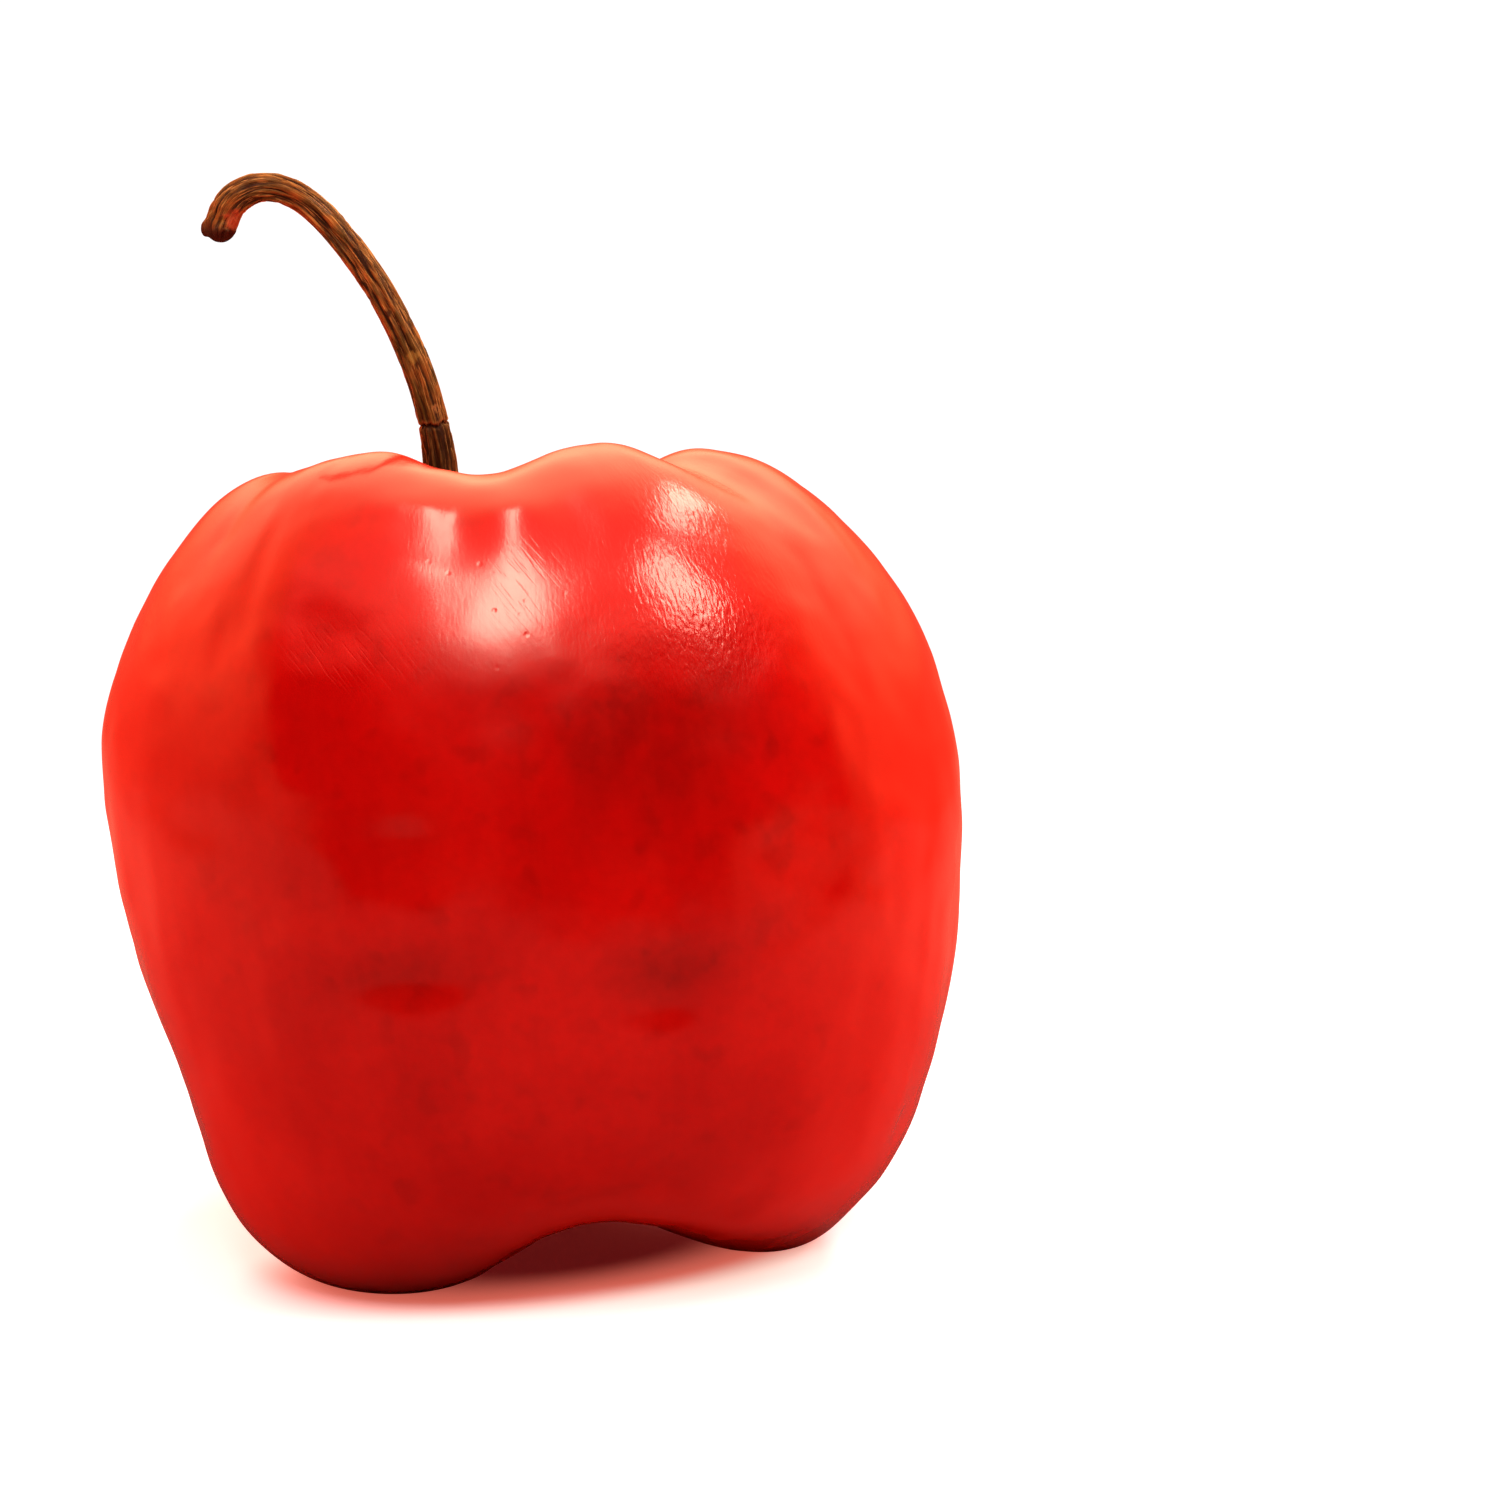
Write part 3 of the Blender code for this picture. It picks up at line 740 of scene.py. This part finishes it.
def endFinish(tree, shader, colour, rough, height):
    bump = addNode(tree, "ShaderNodeBump", {"Strength": 1.0, "Distance": 0.001, "Height": height})  # in millimetres
    for label, value in (("Base Color", colour), ("Roughness", rough), ("Normal", bump.outputs[0])):
        feed(tree, shader.inputs[label], value)
    layOut(tree)


def ownPlace(tree):
    return addNode(tree, "ShaderNodeTexCoord").outputs["Object"]


def mark(tree, name, output="Fac"):
    return addNode(tree, "ShaderNodeAttribute", attribute_name=name).outputs[output]


def turnedAway(tree, *span):
    return remap(tree, addNode(tree, "ShaderNodeLayerWeight").outputs["Facing"], *span)


# Looks: scales per metre, spans over which a colour sets in, roughness from and to, heights in millimetres
skinLook = {
    "shader": {"Specular IOR Level": 0.58, "Metallic": 0.0},
    "patches": {"Scale": 95.0, "Low": 0.35, "High": 0.65},
    "spots": {"Scale": 330.0, "Low": 0.56, "High": 0.72},
    "mottle": {"Scale": 900.0, "Low": 0.30, "High": 0.70},
    "streaks": {"Around": 9.0, "Along": 2.0, "Low": 0.42, "High": 0.62},
    "shares": {"spots": 0.30, "mottle": 0.16, "paintedShade": 0.85, "streaks": 0.08, "hollow": 0.55},
    # facing shares over which the painted rim glow sets in
    "edge": (0.16, 0.80),
    "hollow": (0.90, 0.99),
    "scar": (0.012, 0.006),
    "rough": (0.15, 0.19),
    "haze": 0.045,
    "wrinkleStretch": (105.0, 105.0, 165.0),
    "pitScale": 620.0,
    "pitEdge": (0.02, 0.19),
    "lineSlant": math.radians(42),
    "lineStretch": (3600.0, 600.0, 150.0),
    "gritScale": 2600.0,
    "heights": {"wrinkled": 0.050, "smooth": 0.005, "pitted": 0.026, "pores": 0.001, "scored": 0.009, "grit": 0.0020},
}
skinColours = {
    "deep": (0.35, 0.0006, 0.0005, 1),
    "ripe": (0.42, 0.0010, 0.0007, 1),
    # also the colour of the painted shade in hollows and on the front patches
    "spot": (0.21, 0.0008, 0.0006, 1),
    "streak": (0.50, 0.0080, 0.0030, 1),
    "edge": (0.62, 0.0110, 0.0030, 1),  # painted rim glow: lighter and oranger where the skin turns away from the view
    "hollow": (0.60, 0.0750, 0.0120, 1),
    "scar": (0.10, 0.0350, 0.0120, 1),
}


def skinFinish():
    finish, tree, shader = newFinish("waxyRedSkin", skinLook["shader"])
    place, meridian = ownPlace(tree), mark(tree, "meridian", "Vector")
    up, shares, heights = parts(tree, meridian)["Z"], skinLook["shares"], skinLook["heights"]
    patches, spots, mottle = (useGroup(tree, blotches, Place=place, **skinLook[name])["Mask"]
                              for name in ("patches", "spots", "mottle"))
    streaks = useGroup(tree, fibres, Place=meridian, **skinLook["streaks"])["Mask"]
    spotsAndShade = times(tree, spots, shares["spots"])
    spotsAndShade = timesPlus(tree, mottle, shares["mottle"], spotsAndShade)
    # painted shade in the dents' hollows and two broad front patches, made uneven by noise
    unevenShade = remap(tree, noise(tree, place, 190.0, 2.0, 0.45), 0.20, 0.58)
    unevenShade = times(tree, unevenShade, mark(tree, "paintedShade"))
    spotsAndShade = timesPlus(tree, unevenShade, shares["paintedShade"], spotsAndShade)
    colour = layered(
        tree, skinColours["deep"],
        (patches, skinColours["ripe"]),
        (spotsAndShade, skinColours["spot"]),
        (times(tree, streaks, shares["streaks"]), skinColours["streak"]),
        # painted rim glow where the skin turns away from the view
        (turnedAway(tree, *skinLook["edge"]), skinColours["edge"]),
        (times(tree, remap(tree, up, *skinLook["hollow"]), shares["hollow"]), skinColours["hollow"]),
        (remap(tree, up, *skinLook["scar"]), skinColours["scar"]),
    )
    # the calm places are a little hazier, but not where they are wrinkled
    wrinkled, rough = mark(tree, "wrinkled"), remap(tree, patches, 0.0, 1.0, *skinLook["rough"])
    haze = remap(tree, wrinkled, 0.0, 1.0, skinLook["haze"], 0.0)
    rough = timesPlus(tree, mark(tree, "calm"), haze, rough)
    # short upright wrinkles, small pits and slanting lines
    wrinkles = stretchedNoise(tree, meridian, skinLook["wrinkleStretch"], 1.5, 0.5, 0.4)
    wrinkleHeight = timesPlus(tree, wrinkled, heights["wrinkled"], heights["smooth"])
    pores = addNode(tree, "ShaderNodeTexVoronoi", {"Vector": place, "Scale": skinLook["pitScale"]}, feature="F1")
    pits = remap(tree, pores.outputs["Distance"], *skinLook["pitEdge"])
    pitDepth = timesPlus(tree, mark(tree, "pitted"), heights["pitted"], heights["pores"])
    slant = {"Vector": place, "Angle": skinLook["lineSlant"]}
    slant = addNode(tree, "ShaderNodeVectorRotate", slant, rotation_type="Y_AXIS").outputs[0]
    lines = remap(tree, stretchedNoise(tree, slant, skinLook["lineStretch"], 1.0, 0.5, 0.2), 0.34, 0.46)
    lineHeight = times(tree, mark(tree, "scored"), heights["scored"])
    height = times(tree, wrinkles, wrinkleHeight)
    height = timesPlus(tree, pits, pitDepth, height)
    height = timesPlus(tree, lines, lineHeight, height)
    height = timesPlus(tree, noise(tree, place, skinLook["gritScale"], 2.0, 0.5), heights["grit"], height)
    endFinish(tree, shader, colour, rough, height)
    return finish


calyxLook = {
    "shader": {"Specular IOR Level": 0.35, "Metallic": 0.0},
    "patches": {"Scale": 700.0, "Low": 0.38, "High": 0.62},
    "veins": {"Around": 16.0, "Along": 2.5, "Low": 0.42, "High": 0.60},
    "veinShare": 0.5,
    "browned": (0.52, 0.95),
    "rough": (0.48, 0.66),
    "gritScale": 3200.0,
    "heights": {"grit": 0.03, "veins": 0.06},
}
calyxColours = {
    "green": (0.085, 0.120, 0.022, 1),
    "pale": (0.145, 0.150, 0.035, 1),
    "vein": (0.050, 0.055, 0.014, 1),
    "brown": (0.060, 0.026, 0.010, 1),
}


def calyxFinish():
    finish, tree, shader = newFinish("dryGreenCalyx", calyxLook["shader"])
    place, meridian = ownPlace(tree), mark(tree, "meridian", "Vector")
    patches = useGroup(tree, blotches, Place=place, **calyxLook["patches"])["Mask"]
    veins = useGroup(tree, fibres, Place=meridian, **calyxLook["veins"])
    colour = layered(
        tree, calyxColours["green"],
        (patches, calyxColours["pale"]),
        (times(tree, veins["Mask"], calyxLook["veinShare"]), calyxColours["vein"]),
        (remap(tree, parts(tree, meridian)["Z"], *calyxLook["browned"]), calyxColours["brown"]),
    )
    rough = remap(tree, patches, 0.0, 1.0, *calyxLook["rough"])
    grit = noise(tree, place, calyxLook["gritScale"], 3.0, 0.6)
    height = times(tree, grit, calyxLook["heights"]["grit"])
    height = timesPlus(tree, veins["Height"], calyxLook["heights"]["veins"], height)
    endFinish(tree, shader, colour, rough, height)
    return finish


stemLook = {
    "shader": {"Specular IOR Level": 0.18, "Metallic": 0.0},
    "patches": {"Scale": 420.0, "Low": 0.42, "High": 0.62},
    "strands": {"Around": 3.2, "Along": 9.0, "Low": 0.41, "High": 0.56},
    "threads": {"Around": 7.0, "Along": 16.0, "Low": 0.50, "High": 0.66},
    "threadShare": 0.55,
    # facing shares for the painted rim light along the stem's outline
    "rim": (0.45, 0.95, 0.0, 0.8),
    "tip": (0.955, 0.985),
    "rough": (0.55, 0.80),
    "flakeScale": 1600.0,
    "gritScale": 3600.0,
    "heights": {"grit": 0.02, "threads": 0.12},
}
stemColours = {
    "olive": (0.080, 0.045, 0.006, 1),
    "brown": (0.230, 0.082, 0.014, 1),
    "groove": (0.016, 0.007, 0.001, 1),
    "thread": (0.560, 0.270, 0.070, 1),
    # painted rim light
    "rim": (0.600, 0.330, 0.090, 1),
    "lip": (0.480, 0.200, 0.060, 1),
    "tip": (0.045, 0.014, 0.005, 1),
}

# Spots on the bark, by place: a scale of dry bark, a pale scar, a pit, and painted red bounce light from the skin on
# the inside of the hook
stemMarks = (
    {"place": (-0.0082, -0.0011, 0.0752), "reach": 0.0007, "share": 0.8, "colour": (0.620, 0.270, 0.090, 1)},
    {"place": (-0.0102, -0.0013, 0.0796), "reach": 0.0009, "share": 0.7, "colour": (0.300, 0.180, 0.035, 1)},
    {"place": (-0.0124, -0.0012, 0.0834), "reach": 0.0006, "share": 0.9, "colour": (0.020, 0.008, 0.002, 1)},
    # painted red bounce light from the skin
    {"place": (-0.0252, -0.0004, 0.0911), "reach": 0.0019, "share": 0.7, "colour": (0.420, 0.060, 0.020, 1)},
)


def stemFinish():
    finish, tree, shader = newFinish("dryStalk", stemLook["shader"])
    place, grain = ownPlace(tree), mark(tree, "grain", "Vector")
    patches = useGroup(tree, blotches, Place=place, **stemLook["patches"])["Mask"]
    strands, threads = (useGroup(tree, fibres, Place=grain, **stemLook[name]) for name in ("strands", "threads"))
    colour = blendColour(tree, patches, stemColours["olive"], stemColours["brown"])
    colour = blendColour(tree, strands["Mask"], stemColours["groove"], colour)
    # the foot below the crack is darker, the crack itself nearly black under a paler lip
    fromCrack = mark(tree, "fromCrack")
    lip = times(tree, remap(tree, fromCrack, 0.003, 0.006), remap(tree, fromCrack, 0.014, 0.006, 0.0, 0.6))
    colour = layered(
        tree, colour,
        (times(tree, threads["Mask"], stemLook["threadShare"]), stemColours["thread"]),
        (remap(tree, fromCrack, -0.006, 0.0, 0.60, 0.0), stemColours["groove"]),
        (times(tree, lip, threads["Height"]), stemColours["lip"]),
        (remap(tree, calc(tree, "ABSOLUTE", fromCrack), 0.002, 0.005, 1.0, 0.0), stemColours["groove"]),
    )
    flaky = noise(tree, place, stemLook["flakeScale"], 2.0, 0.6)
    for spot in stemMarks:
        away = addNode(tree, "ShaderNodeVectorMath", {0: place, 1: spot["place"]}, operation="DISTANCE")
        edge = timesPlus(tree, flaky, spot["reach"], away.outputs["Value"])
        share = remap(tree, edge, 1.3 * spot["reach"], 0.8 * spot["reach"], 0.0, spot["share"])
        colour = blendColour(tree, share, colour, spot["colour"])
    colour = layered(
        tree, colour,
        # painted rim light where the stem turns away from the view
        (turnedAway(tree, *stemLook["rim"]), stemColours["rim"]),
        (remap(tree, parts(tree, grain)["Z"], *stemLook["tip"]), stemColours["tip"]),
    )
    rough = remap(tree, patches, 0.0, 1.0, *stemLook["rough"])
    grit = noise(tree, place, stemLook["gritScale"], 3.0, 0.6)
    height = times(tree, grit, stemLook["heights"]["grit"])
    height = timesPlus(tree, threads["Height"], stemLook["heights"]["threads"], height)
    endFinish(tree, shader, colour, rough, height)
    return finish


print("finishes and skin")
pieces = {"berry": makeBerry(skinFinish())}
print("calyx")
pieces["calyx"] = makeCalyx(calyxFinish())
print("stem")
pieces["stem"] = makeStem(stemFinish())

for node, slot in (("berry", "skin"), ("calyx", "calyx"), ("stem", "stem")):
    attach(pieces[node], "root")
    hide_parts(node)


# Studio: white table and backdrop, two soft boxes and two strips, paler light from above and the sides

studio = {
    "lookAt": (0.0, 0.0, 0.045),
    "warm": (1.0, 0.84, 0.64),
    "boxes": (  # direction round the pepper from the front, and up, in degrees; then shift, size, radiance
        {"name": "softBoxLeft", "turn": 0, "rise": 46, "aside": -0.090, "size": (0.22, 0.44), "glow": 18},
        {"name": "stripLeft", "turn": 0, "rise": 75, "aside": -0.103, "size": (0.076, 0.60), "glow": 16},
        {"name": "softBoxRight", "turn": 58, "rise": 46, "aside": 0.0, "size": (0.36, 0.33), "glow": 15},
        {"name": "stripRight", "turn": 119, "rise": 54, "aside": 0.0, "size": (0.22, 0.60), "glow": 12},
    ),
    "tableHalf": 4,
    "table": (0.85, 0.66, 0.94, 1.0),  # as the camera sees it: evens out the warm light
    "tableFront": (0.80, 0.27, 0.21, 1.0),
    "tableSides": (1.00, 0.38, 0.29, 1.0),
    "sidesFade": (-0.03, 0.06),
    "tableUnder": (0.10, 0.04, 0.03, 1.0),
    "bounceFade": (0.95, 1.9),
    "glossNear": (0.085, 0.070, 0.080, 1.0),
    "dimFade": (0.18, 0.60),  # no hard horizon in the skin's reflection
    "glossFar": (0.95, 0.13, 0.065, 1.0),
    "glossFade": (0.03, 0.18),
    "glossSides": (-0.06, 0.24),
    "tableBack": (0.03, 0.20, 0.0, 0.5),
    "tableFade": (0.14, 0.34),
    "footprint": (0.020, 0.025),
    "shadow": {"aside": 0.0025, "slant": 0.42, "size": (0.026, 0.019)},  # its front edge joins the two front feet
    "shadowFades": ((0.40, 0.90), (0.80, 1.15)),
    "liftNear": (0.09, 0.004, 0.004, 1.0),  # painted shadow: a dark red glow painted into the table under the pepper
    "liftEdge": (0.66, 0.130, 0.090, 1.0),
    "liftFar": (1.00, 0.72, 0.62, 1.0),
    "skyFront": (0.02, 0.015, 0.012, 1.0),
    "skyBrow": (6.5, 0.60, 0.40, 1.0),
    "browFade": (0.41, 0.63),
    "skySides": (2.9, 0.43, 0.17, 1.0),
    "skyTurn": -0.22,  # more of the side light reaches the front on the left
    "skySidesFade": (-0.30, 0.45),
    "horizonFade": (0.0, 0.26, 1.0, 0.0),
    "skyHigh": (3.8, 2.1, 1.15, 1.0),
    "highSlope": 0.6,
    "highFades": {"back": (0.45, 0.95), "up": (0.15, 0.50), "aside": (0.10, 0.75, 1.0, 0.35)},
    "backShade": (0.05, 0.60, 0.0, 0.75),
    "backdrop": (1.1, 1.1, 1.1, 1.0),
    "black": (0, 0, 0, 1),
}


def addSoftBox(box):
    lamp = bpy.data.lights.new(box["name"], "AREA")
    lamp.shape = "RECTANGLE"
    lamp.size, lamp.size_y = box["size"]
    lamp.energy = box["glow"] * lamp.size * lamp.size_y * math.pi
    lamp.color = studio["warm"]
    piece = addObject(box["name"], lamp)
    turn, rise = math.radians(box["turn"]), math.radians(box["rise"])
    out = Vector((math.sin(turn) * math.cos(rise), -math.cos(turn) * math.cos(rise), math.sin(rise)))
    along = (Vector((0, 1, 0)) - out.y * out).normalized()  # the second side runs from front to back
    piece.location = Vector(studio["lookAt"]) + Vector((box["aside"], 0, 0)) + out
    piece.rotation_mode = "QUATERNION"
    piece.rotation_quaternion = Matrix((along.cross(out), along, out)).transposed().to_quaternion()
    piece.visible_camera = False


def addTable():
    half, black = studio["tableHalf"], studio["black"]
    mesh = bpy.data.meshes.new("table")
    mesh.from_pydata([(-half, -half, 0), (half, -half, 0), (half, half, 0), (-half, half, 0)], [], [(0, 1, 2, 3)])
    table = addObject("table", mesh)
    constants = {"Roughness": 0.9, "Specular IOR Level": 0.0, "Emission Strength": 1.0}
    finish, tree, shader = newFinish("whiteTable", constants)
    paths = addNode(tree, "ShaderNodeLightPath").outputs
    seen, mirrored = paths["Is Camera Ray"], paths["Is Glossy Ray"]
    place = ownPlace(tree)
    across, back, _ = parts(tree, place)
    away = lengthOf(tree, place)
    far = remap(tree, away, *studio["tableFade"])
    wide, deep = studio["footprint"]
    ring = lengthOf(tree, scaled(tree, place, (1 / wide, 1 / deep, 0)))
    aside = calc(tree, "ADD", calc(tree, "ABSOLUTE", across), back)
    colour = blendColour(tree, remap(tree, aside, *studio["sidesFade"]), studio["tableFront"], studio["tableSides"])
    colour = blendColour(tree, remap(tree, ring, *studio["bounceFade"]), studio["tableUnder"], colour)
    dim = blendColour(tree, remap(tree, away, *studio["dimFade"]), studio["glossNear"], black)
    colour = layered(
        tree, colour,
        (remap(tree, back, *studio["tableBack"]), black),
        (mirrored, dim),
        (seen, studio["table"]),
        (times(tree, far, seen), black),
    )
    # the camera sees it run out into plain white, and the skin mirrors a brighter far part
    shadow = studio["shadow"]
    under = joined(tree, calc(tree, "SUBTRACT", across, shadow["aside"]),
                   timesPlus(tree, across, -shadow["slant"], back), 0.0)
    wide, deep = shadow["size"]
    beyond = lengthOf(tree, scaled(tree, under, (1 / wide, 1 / deep, 0)))
    nearFade, farFade = studio["shadowFades"]
    # painted shadow: the camera sees a dark red glow by the feet, pink at its edge and white beyond
    lift = layered(
        tree, studio["liftNear"],
        (remap(tree, beyond, *nearFade), studio["liftEdge"]),
        (remap(tree, beyond, *farFade), studio["liftFar"]),
        (far, studio["backdrop"]),
    )
    shine = times(tree, remap(tree, aside, *studio["glossSides"]), remap(tree, away, *studio["glossFade"]))
    shine = blendColour(tree, times(tree, shine, mirrored), black, studio["glossFar"])
    feed(tree, shader.inputs["Base Color"], colour)
    feed(tree, shader.inputs["Emission Color"], blendColour(tree, seen, shine, lift))
    layOut(tree)
    mesh.materials.append(finish)


def addSky():
    world = bpy.data.worlds.new("whiteStudio")
    bpy.context.scene.world = world
    world.use_nodes = True
    tree, fades = world.node_tree, studio["highFades"]
    across, back, up = parts(tree, addNode(tree, "ShaderNodeTexCoord").outputs["Generated"])
    paths = addNode(tree, "ShaderNodeLightPath").outputs
    mirrored = paths["Is Glossy Ray"]
    over = timesPlus(tree, up, studio["highSlope"], back)
    high = times(tree, remap(tree, over, *fades["back"]), remap(tree, up, *fades["up"]))
    high = times(tree, high, remap(tree, calc(tree, "ABSOLUTE", across), *fades["aside"]))
    behind = timesPlus(tree, across, studio["skyTurn"], back)
    behind = remap(tree, behind, *studio["skySidesFade"])
    # the skin mirrors a dim red glow above the front, down to a soft lower edge
    brow = times(tree, remap(tree, up, *studio["browFade"]), mirrored)
    # in reflections the sides pass softly into the table's far part at the horizon
    low = times(tree, remap(tree, up, *studio["horizonFade"]), mirrored)
    # the far back stays bright in reflections, but lights the back of the pepper less
    backShade = times(tree, remap(tree, back, *studio["backShade"]), paths["Is Diffuse Ray"])
    light = layered(
        tree, studio["skyFront"],
        (brow, studio["skyBrow"]),
        (behind, studio["skySides"]),
        (times(tree, low, behind), studio["glossFar"]),
        (high, studio["skyHigh"]),
        (backShade, studio["black"]),
        (paths["Is Camera Ray"], studio["backdrop"]),
    )
    feed(tree, tree.nodes["Background"].inputs["Color"], light)
    layOut(tree)


print("studio")
for box in studio["boxes"]:
    addSoftBox(box)
addTable()
addSky()

view = {
    "place": (0.01889, -0.36214, 0.10244),
    "down": 9,  # degrees under the horizon
    "lens": 100.07,
    "sensor": 36,
    "near": 0.01,
}
camera = addObject("camera", bpy.data.cameras.new("camera"))
bpy.context.scene.camera = camera
camera.data.sensor_width = view["sensor"]
camera.data.lens = view["lens"]
camera.data.clip_start = view["near"]
camera.location = view["place"]
camera.rotation_euler = (math.radians(90 - view["down"]), 0, 0)
bpy.context.scene.view_settings.view_transform = "Standard"
